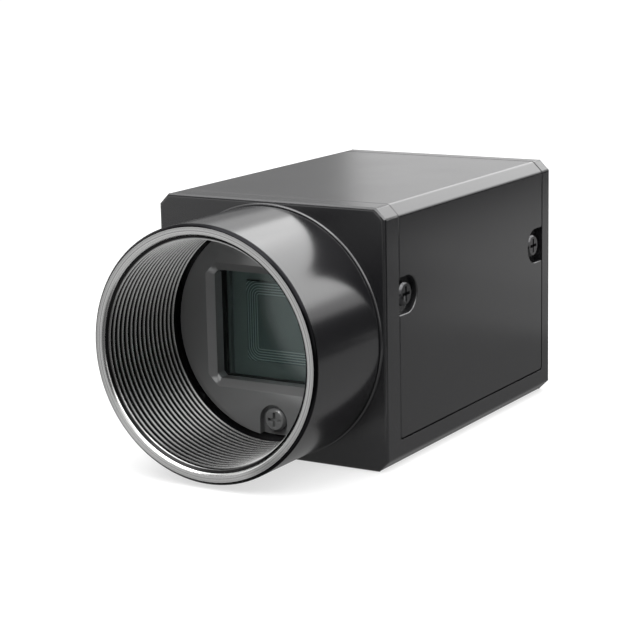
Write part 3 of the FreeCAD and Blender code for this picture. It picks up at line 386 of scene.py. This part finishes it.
def make_turned_rings():
    """Fine uneven rings about the lens axis, as a lathe tool leaves them."""
    tree, given, result = effect("turned_rings", {"Ring Pitch": 0.10 * MM},
                                 ("Height", "Radius", "Depth"))
    split = add_node(tree, "SeparateXYZ", {0: (add_node(tree, "TexCoord"), "Object")})
    height = reckon(tree, "SUBTRACT", (split, "Z"), LENS_AXIS)
    across = add_node(tree, "CombineXYZ", {"X": (split, "X"), "Z": height})
    length = add_node(tree, "VectorMath", {0: across}, operation="LENGTH")
    radius = (length, "Value")
    count = reckon(tree, "DIVIDE", radius, (given, "Ring Pitch"))
    rings = add_node(tree, "TexNoise", noise_dimensions="1D",
                     inputs={"W": count, "Scale": 1.0, "Detail": 3.0, "Roughness": 0.7})
    feed(result, "Height", (rings, "Fac"))
    feed(result, "Radius", radius)
    feed(result, "Depth", (split, "Y"))
    return tree


fine_grain = make_fine_grain()
turned_rings = make_turned_rings()


# Finishes

def grained(name, dark, light, roughness, spread, grain, depth, cloud=CLOUD_SIZE, **values):
    """A finish with a fine grain, and a colour and gloss that change slowly over it."""
    material, tree, shader = finish_shader(name, **values)
    skin = use_effect(tree, fine_grain, {"Grain Size": grain, "Cloud Size": cloud})
    slow = (skin, "Cloud")
    feed(shader, "Base Color", blend_colours(tree, slow, dark, light))
    feed(shader, "Roughness", between(tree, slow, roughness - spread, roughness + spread))
    bump(tree, shader, (skin, "Height"), depth)
    return material


def black_anodised():
    return grained("black_anodised", dark=(0.008, 0.008, 0.009), light=(0.012, 0.012, 0.013),
                   roughness=0.22, spread=0.03, grain=0.10 * MM, depth=0.0012 * MM, IOR=OXIDE_IOR)


def bare_rim():
    """Cut thread: bare metal, bright along its crests, with painted shade that darkens it down in
    its grooves.
    """
    material, tree, shader = finish_shader("bare_rim", Metallic=1.0, Roughness=0.26)
    rings = use_effect(tree, turned_rings, {"Ring Pitch": 0.10 * MM})
    # Painted shade: the colour darkens from the crests down into the grooves
    height = share(tree, (rings, "Radius"), GROOVE_RADIUS, RIDGE_RADIUS)
    feed(shader, "Base Color", blend_colours(tree, height, (0.02, 0.02, 0.02), (0.62, 0.62, 0.615)))
    bump(tree, shader, (rings, "Height"), 0.001 * MM)
    return material


def black_screw():
    return grained("black_screw", dark=(0.05, 0.05, 0.052), light=(0.10, 0.10, 0.102),
                   roughness=0.17, spread=0.04, grain=0.08 * MM, depth=0.001 * MM,
                   cloud=3 * MM, Metallic=0.9)


def bright_steel():
    return grained("bright_steel", dark=(0.50, 0.50, 0.49), light=(0.62, 0.61, 0.60),
                   roughness=0.28, spread=0.06, grain=0.08 * MM, depth=0.001 * MM,
                   cloud=4 * MM, Metallic=1.0)


def glass(name, colour, ior, roughness):
    """Clear flat glass with a polish that is not quite even."""
    material, tree, shader = finish_shader(name, IOR=ior, Transmission_Weight=1.0,
                                           Roughness=roughness)
    skin = use_effect(tree, fine_grain, {"Grain Size": 0.8 * MM, "Cloud Size": 7 * MM})
    deeper = tuple(0.96 * part for part in colour)
    feed(shader, "Base Color", blend_colours(tree, (skin, "Cloud"), colour, deeper))
    bump(tree, shader, (skin, "Height"), 0.00005 * MM)
    let_light_through(tree, shader, colour)
    return material


def let_light_through(tree, shader, colour):
    """Light that falls on what is behind the pane goes straight through it, tinted."""
    rays = add_node(tree, "LightPath")
    falling = reckon(tree, "MAXIMUM", (rays, "Is Shadow Ray"), (rays, "Is Diffuse Ray"))
    straight = add_node(tree, "BsdfTransparent", {"Color": (*colour, 1)})
    mix = add_node(tree, "MixShader", {0: falling, 1: shader, 2: straight})
    feed(tree.nodes["Material Output"], "Surface", mix)


def filter_glass():
    return glass("filter_glass", (0.88, 0.95, 0.935), ior=1.27, roughness=0.02)


def clear_glass():
    return glass("clear_glass", (0.95, 0.97, 0.97), ior=1.22, roughness=0.01)


def black_rubber():
    return grained("black_rubber", dark=(0.012, 0.012, 0.012), light=(0.022, 0.022, 0.022),
                   roughness=0.70, spread=0.08, grain=0.07 * MM, depth=0.004 * MM, cloud=4 * MM)


def package_ceramic():
    return grained("package_ceramic", dark=(0.150, 0.158, 0.156), light=(0.180, 0.188, 0.186),
                   roughness=0.40, spread=0.06, grain=0.05 * MM, depth=0.002 * MM, cloud=5 * MM)


def silicon():
    """The sensor chip: a grey-green face with seal rings round a plain field, corners rounded."""
    material, tree, shader = finish_shader("silicon", Metallic=0.1, Roughness=0.30, IOR=1.2)
    place = (add_node(tree, "TexCoord"), "Object")
    cloud = add_node(tree, "TexNoise", {"Vector": place, "Scale": 1 / (6 * MM), "Detail": 2.0})
    sheen = blend_colours(tree, (cloud, "Fac"), (0.11, 0.122, 0.119), (0.14, 0.156, 0.153))

    split = add_node(tree, "SeparateXYZ", {0: place})
    past = add_node(tree, "CombineXYZ")
    for axis, middle, half in zip("XZ", (0.0, LENS_AXIS), CHIP_FIELD):
        side = reckon(tree, "ABSOLUTE", reckon(tree, "SUBTRACT", (split, axis), middle))
        feed(past, axis, reckon(tree, "MAXIMUM", reckon(tree, "SUBTRACT", side, half), 0.0))
    reach = (add_node(tree, "VectorMath", {0: past}, operation="LENGTH"), "Value")
    turns = reckon(tree, "MULTIPLY", reach, math.tau / SEAL_RING_PITCH)
    line = share(tree, reckon(tree, "COSINE", turns), 0.2, 0.9)
    border = reckon(tree, "GREATER_THAN", reach, 0.5 * SEAL_RING_PITCH)
    shown = reckon(tree, "MULTIPLY", line, border)
    feed(shader, "Base Color", blend_colours(tree, shown, sheen, (0.34, 0.37, 0.365)))
    bump(tree, shader, shown, 0.0005 * MM)
    return material


def circuit_board():
    """Green solder mask over copper."""
    return grained("circuit_board", dark=(0.010, 0.070, 0.030), light=(0.016, 0.100, 0.045),
                   roughness=0.36, spread=0.05, grain=0.08 * MM, depth=0.001 * MM, cloud=6 * MM)


def chip_epoxy():
    return grained("chip_epoxy", dark=(0.018, 0.018, 0.019), light=(0.030, 0.030, 0.031),
                   roughness=0.62, spread=0.06, grain=0.06 * MM, depth=0.003 * MM, cloud=3 * MM)


def crystal_can():
    return grained("crystal_can", dark=(0.50, 0.50, 0.50), light=(0.62, 0.62, 0.62),
                   roughness=0.32, spread=0.06, grain=0.05 * MM, depth=0.0006 * MM,
                   cloud=2 * MM, Metallic=1.0)


def capacitor_body():
    return grained("capacitor_body", dark=(0.30, 0.20, 0.11), light=(0.42, 0.30, 0.18),
                   roughness=0.48, spread=0.06, grain=0.05 * MM, depth=0.001 * MM, cloud=1 * MM)


def thermal_silicone():
    return grained("thermal_silicone", dark=(0.20, 0.24, 0.28), light=(0.28, 0.32, 0.36),
                   roughness=0.75, spread=0.06, grain=0.15 * MM, depth=0.008 * MM, cloud=3 * MM)


def connector_plastic():
    return grained("connector_plastic", dark=(0.013, 0.013, 0.014), light=(0.020, 0.020, 0.021),
                   roughness=0.42, spread=0.06, grain=0.12 * MM, depth=0.003 * MM, cloud=4 * MM)


def gold_contact():
    return grained("gold_contact", dark=(0.75, 0.52, 0.20), light=(0.85, 0.62, 0.28),
                   roughness=0.24, spread=0.05, grain=0.06 * MM, depth=0.0005 * MM,
                   cloud=2 * MM, Metallic=1.0)


def nickel_shell():
    return grained("nickel_shell", dark=(0.52, 0.50, 0.46), light=(0.62, 0.60, 0.56),
                   roughness=0.26, spread=0.05, grain=0.10 * MM, depth=0.0008 * MM,
                   cloud=5 * MM, Metallic=1.0)


def light_pipe():
    return grained("light_pipe", dark=(0.80, 0.84, 0.80), light=(0.88, 0.91, 0.88),
                   roughness=0.12, spread=0.04, grain=0.10 * MM, depth=0.0005 * MM,
                   cloud=2 * MM, IOR=1.49, Transmission_Weight=0.6)


def ring_finish():
    """Black anodised outside, bare turned metal on the rim face and the wall of the bore. The
    outside near the rim is made an unreflecting black mirror, a painted dark edge, and the bore is
    painted dark deeper in, as painted shade in its grooves.
    """
    material, tree, shader = finish_shader("ring_finish", IOR=OXIDE_IOR)
    skin = use_effect(tree, fine_grain, {"Grain Size": 0.10 * MM, "Cloud Size": CLOUD_SIZE})
    rings = use_effect(tree, turned_rings, {"Ring Pitch": 0.20 * MM})
    radius, depth = (rings, "Radius"), (rings, "Depth")

    on_face = reckon(tree, "MULTIPLY", reckon(tree, "LESS_THAN", depth, BARE_FACE_END),
                     reckon(tree, "LESS_THAN", radius, BARE_FACE_RADIUS))
    on_wall = reckon(tree, "MULTIPLY", reckon(tree, "LESS_THAN", radius, BARE_WALL_RADIUS),
                     reckon(tree, "LESS_THAN", depth, BARE_WALL_END))
    bare = reckon(tree, "MAXIMUM", on_face, on_wall)
    # Painted shade: near the rim the black outside reflects almost nothing, a painted dark line
    # along its edge
    painted_dark_edge = reckon(tree, "LESS_THAN", depth, PAINTED_DARK_EDGE_END)
    feed(shader, "Metallic", reckon(tree, "MAXIMUM", painted_dark_edge, bare))

    streaks = share(tree, (rings, "Height"), 0.25, 0.75)
    metal = blend_colours(tree, streaks, (0.40, 0.40, 0.40), (0.90, 0.90, 0.89))
    # Painted shade: deeper in, the bare bore is painted dark, for the shade down in its grooves
    painted_groove_shade = reckon(tree, "GREATER_THAN", depth, GROOVE_SHADE_START)
    groove = blend_colours(tree, painted_groove_shade, metal, (0.05, 0.05, 0.05))
    feed(shader, "Base Color", blend_colours(tree, bare, (0.011, 0.011, 0.012), groove))
    black_gloss = between(tree, (skin, "Cloud"), 0.16, 0.21)
    feed(shader, "Roughness", blend_values(tree, bare, black_gloss, 0.22))
    relief = blend_values(tree, bare, (skin, "Height"), (rings, "Height"))
    bump(tree, shader, relief, 0.0015 * MM)
    return material


def plate_finish():
    """The sensor plate's thin black dye, which lets the metal under it shine."""
    return grained("plate_finish", dark=(0.31, 0.313, 0.313), light=(0.35, 0.353, 0.353),
                   roughness=0.20, spread=0.02, grain=0.10 * MM, depth=0.0012 * MM,
                   Metallic=0.52, IOR=1.2)


finishes = {make.__name__: make() for make in (
    black_anodised, bare_rim, black_screw, bright_steel, filter_glass, clear_glass, black_rubber,
    package_ceramic, silicon, circuit_board, chip_epoxy, crystal_can, capacitor_body,
    thermal_silicone, connector_plastic, gold_contact, nickel_shell, light_pipe, ring_finish,
    plate_finish)}


# Pieces

def round_long_edges(piece):
    """Rounds the long chamfers' edges, which run from front to back, more than the rest."""
    def at_chamfer(place):
        return (abs(place.x) > housing_high.x - LONG_CHAMFER
                and not LONG_CHAMFER < place.z < housing_high.z - LONG_CHAMFER)

    def runs_along(line):
        ends = [piece.data.vertices[index].co for index in line.vertices]
        return all(map(at_chamfer, ends)) and abs(ends[0].y - ends[1].y) > LONG_EDGE_LENGTH

    pick(piece, "EDGE", runs_along)
    bpy.ops.mesh.bevel(offset=LONG_EDGE_ROUNDING, segments=3, affect="EDGES")
    close()


def case_piece(name, solid, most_sides=None):
    """A piece of the black case, with its long chamfers rounded and its other edges softened."""
    piece = merged_copy(name, solid, most_sides)
    round_long_edges(piece)
    soften(piece, CASE_EDGE)
    stand_for(piece, solid, finishes["black_anodised"])


def housing():
    case_piece("housing", "chassis", most_sides=WEB_SIDES)


def cover():
    case_piece("cover", "top_cover")


def side_screws():
    softened("side_screws", "cover_screws", PRESSED_EDGE, finishes["black_screw"])


def axis_distance(place):
    """How far a place is from the lens axis."""
    return math.hypot(place.x, place.z - LENS_AXIS)


def lens_ring():
    """The ring with a plain bore: the ridges of its solid make way for the turned thread."""
    piece = merged_copy("lens_ring", "lens_mount")
    pick(piece, "VERT", lambda vertex: axis_distance(vertex.co) < BORE_RADIUS + MARGIN
         and THREAD_START + MARGIN < vertex.co.y < RELIEF_START - MARGIN)
    bpy.ops.mesh.delete(type="VERT")
    bpy.ops.mesh.select_mode(type="EDGE")
    bpy.ops.mesh.select_all(action="DESELECT")
    bpy.ops.mesh.select_non_manifold()
    bpy.ops.mesh.bridge_edge_loops()
    close()
    soften(piece, FINE_EDGE)
    stand_for(piece, "lens_mount", finishes["ring_finish"])


def sensor_plate():
    softened("sensor_plate", "filter_holder", FINE_EDGE, finishes["plate_finish"])


def plate_screws():
    softened("plate_screws", "filter_holder_screws", FINE_EDGE, finishes["plate_finish"])


def power_socket():
    softened("power_socket", "io_shell", FINE_EDGE, finishes["nickel_shell"])
    softened("power_socket_insert", "io_insulator", FINE_EDGE, finishes["connector_plastic"])
    softened("power_socket_pins", "io_pins", FINE_EDGE, finishes["gold_contact"])


def network_socket():
    softened("network_socket", "socket_shell", PRESSED_EDGE, finishes["nickel_shell"], most_sides=4)
    softened("network_socket_insert", "socket_insert", FINE_EDGE, finishes["connector_plastic"])


def lens_thread():
    """The ridge of the lens thread, swept about the lens axis and trimmed to mouth and relief."""
    piece = add_plane("lens_thread")
    depth = THREAD_DEPTH + FOOT_DEPTH
    edit(piece)
    bpy.ops.transform.resize(value=(depth, ROOT_WIDTH, 1))
    bpy.ops.transform.translate(value=(CREST_RADIUS + depth / 2, 0, 0))
    close()
    pick(piece, "VERT", lambda vertex: vertex.co.x < CREST_RADIUS + THREAD_DEPTH / 2)
    bpy.ops.transform.resize(value=(1, CREST_WIDTH / ROOT_WIDTH, 1))
    bpy.ops.mesh.select_all(action="SELECT")
    bpy.ops.mesh.delete(type="ONLY_FACE")
    close()
    apply_modifier(piece, "SCREW", axis="Y", angle=math.tau, screw_offset=PITCH,
                   iterations=math.ceil(THREAD_LENGTH / PITCH) + SPARE_TURNS,
                   steps=STEPS_A_TURN, render_steps=STEPS_A_TURN, use_normal_calculate=True)
    edit(piece)
    bpy.ops.mesh.fill_holes(sides=4)
    bpy.ops.mesh.normals_make_consistent(inside=False)
    bpy.ops.transform.translate(value=(0, THREAD_START - 2 * PITCH, LENS_AXIS))
    close()
    gauge = thread_gauge()
    apply_modifier(piece, "BOOLEAN", operation="INTERSECT", object=gauge, solver="EXACT")
    bpy.data.objects.remove(gauge, do_unlink=True)
    only(piece)
    bpy.ops.object.shade_smooth_by_angle(angle=math.radians(25))
    dress(piece, finishes["bare_rim"])


def thread_gauge():
    """The space that the thread keeps to: a drum from mouth to relief, less the mouth's cone."""
    bpy.ops.object.select_all(action="DESELECT")
    bpy.ops.mesh.primitive_cylinder_add(
        vertices=STEPS_A_TURN, radius=BORE_RADIUS + MOUTH_CHAMFER, depth=RELIEF_START - RIM_FACE,
        rotation=(math.pi / 2, 0, 0), location=(0, (RIM_FACE + RELIEF_START) / 2, LENS_AXIS))
    gauge = bpy.context.object
    bpy.ops.object.transform_apply(location=True, rotation=True, scale=True)
    pick(gauge, "FACE", lambda face: face.center.y < RIM_FACE + MARGIN)
    bpy.ops.mesh.inset(thickness=GAUGE_CONE, depth=-GAUGE_CONE)
    close()
    return gauge


def dress_remaining_nodes():
    """Every solid that keeps its own mesh gets the finish of its slot."""
    for name, solid in nodes.items():
        if not solid.hide_render:
            solid.data.materials.clear()
            solid.data.materials.append(finishes[part_slot[name]])


# The studio

def towards(azimuth, elevation):
    """The direction from the middle of the object that these angles give."""
    turn, rise = math.radians(azimuth), math.radians(elevation)
    return Vector((math.cos(turn) * math.cos(rise), math.sin(turn) * math.cos(rise),
                   math.sin(rise)))


def aim(made, azimuth, elevation, distance):
    """Puts a lamp or a card so far from the middle of the object, square to it."""
    out = towards(azimuth, elevation)
    made.location = OBJECT_MIDDLE + out * distance
    made.rotation_mode = "QUATERNION"
    made.rotation_quaternion = out.to_track_quat("Z", "Y")


def add_camera():
    back = towards(VIEW_AZIMUTH, VIEW_ELEVATION)
    view = bpy.data.cameras.new("view")
    view.lens, view.sensor_width = VIEW_LENS, VIEW_SENSOR
    view.clip_start, view.clip_end = 0.01, 20
    camera = bpy.data.objects.new("view", view)
    bpy.context.scene.collection.objects.link(camera)
    camera.location = OBJECT_MIDDLE + VIEW_OFFSET + back * VIEW_DISTANCE
    roll = Quaternion((0, 0, 1), math.radians(VIEW_ROLL))
    camera.rotation_mode = "QUATERNION"
    camera.rotation_quaternion = back.to_track_quat("Z", "Y") @ roll
    bpy.context.scene.camera = camera


def soft_box(name, azimuth, elevation, size, brightness, mirrored=True):
    """A lamp a metre from the object and aimed at it. Polished faces show it if it is mirrored."""
    width, height = size
    lamp = bpy.data.lights.new(name, "AREA")
    lamp.shape = "RECTANGLE"
    lamp.size, lamp.size_y = width, height
    lamp.energy = brightness * math.pi * width * height
    light = bpy.data.objects.new(name, lamp)
    bpy.context.scene.collection.objects.link(light)
    aim(light, azimuth, elevation, LAMP_DISTANCE)
    light.visible_camera = False
    light.visible_glossy = mirrored


def card(name, azimuth, elevation, distance, size, shade):
    """A card that only reflections see. Its shade is 0 for black."""
    made = add_plane(name)
    made.scale = (*size, 1)
    aim(made, azimuth, elevation, distance)
    only_reflected(made, shade)


def floor_card(name, left, right, front, back, shade):
    """A card that lies on the floor and that only reflections see."""
    made = add_plane(name, location=((left + right) / 2, (front + back) / 2, FLOOR_CARD_LEVEL))
    made.scale = (right - left, back - front, 1)
    only_reflected(made, shade)


def only_reflected(made, shade):
    material = finish_shader(made.name, Roughness=1.0, Specular_IOR_Level=0.0, Base_Color=BLACK,
                             Emission_Color=WHITE, Emission_Strength=shade)[0]
    made.data.materials.append(material)
    made.visible_camera = made.visible_diffuse = made.visible_shadow = False
    made.visible_transmission = made.visible_volume_scatter = False


def floor():
    piece = add_plane("floor", size=6, location=(0, 0, FLOOR_LEVEL))
    material, tree, shader = finish_shader(
        "pale_floor", Roughness=0.9, Specular_IOR_Level=0.0, Base_Color=(0.38, 0.38, 0.38, 1),
        Emission_Color=WHITE)
    seen = any_of(tree, ("Is Camera Ray", "Is Transmission Ray"))
    feed(shader, "Emission Strength", between(tree, seen, 0.0, FLOOR_GLOW))
    piece.data.materials.append(material)


def studio_room():
    """A white room for the camera, polished faces and glass, which lights the object dimly."""
    world = bpy.data.worlds.new("studio_room")
    bpy.context.scene.world = world
    world.use_nodes = True
    tree = world.node_tree
    tree.nodes.clear()
    seen = any_of(tree, ("Is Camera Ray", "Is Glossy Ray", "Is Transmission Ray"))
    dim = add_node(tree, "Background", {"Color": WHITE, "Strength": ROOM_LIGHT})
    pale = add_node(tree, "Background", {"Color": WHITE, "Strength": 1.0})
    mix = add_node(tree, "MixShader", {0: seen, 1: dim, 2: pale})
    add_node(tree, "OutputWorld", {"Surface": mix})


def lamps_and_cards():
    soft_box("top_box", 60, 80, size=(1.6, 1.6), brightness=1.6)
    soft_box("rear_box", 80, 34, size=(1.1, 0.6), brightness=1.9)
    soft_box("right_box", 345, 42, size=(0.9, 0.6), brightness=2.2)
    card("view_card", 302, 8, distance=0.5, size=(0.42, 0.26), shade=0.05)
    card("right_card", 35, 3, distance=0.30, size=(0.42, 0.08), shade=0.0)
    card("rear_card", 141.5, 10, distance=0.60, size=(0.47, 0.16), shade=0.3)
    soft_box("front_box", 260, 62, size=(0.8, 0.5), brightness=2.8)
    soft_box("front_fill", 260, 42, size=(0.8, 0.5), brightness=2.8, mirrored=False)
    card("front_card", 235, 36, distance=0.50, size=(0.42, 0.20), shade=0.1)
    for name, ends_and_shade in FLOOR_CARDS.items():
        floor_card(name, *ends_and_shade)


bpy.context.scene.view_settings.view_transform = "Standard"
add_camera()
housing()
cover()
side_screws()
lens_ring()
sensor_plate()
plate_screws()
power_socket()
network_socket()
lens_thread()
dress_remaining_nodes()
floor()
studio_room()
lamps_and_cards()
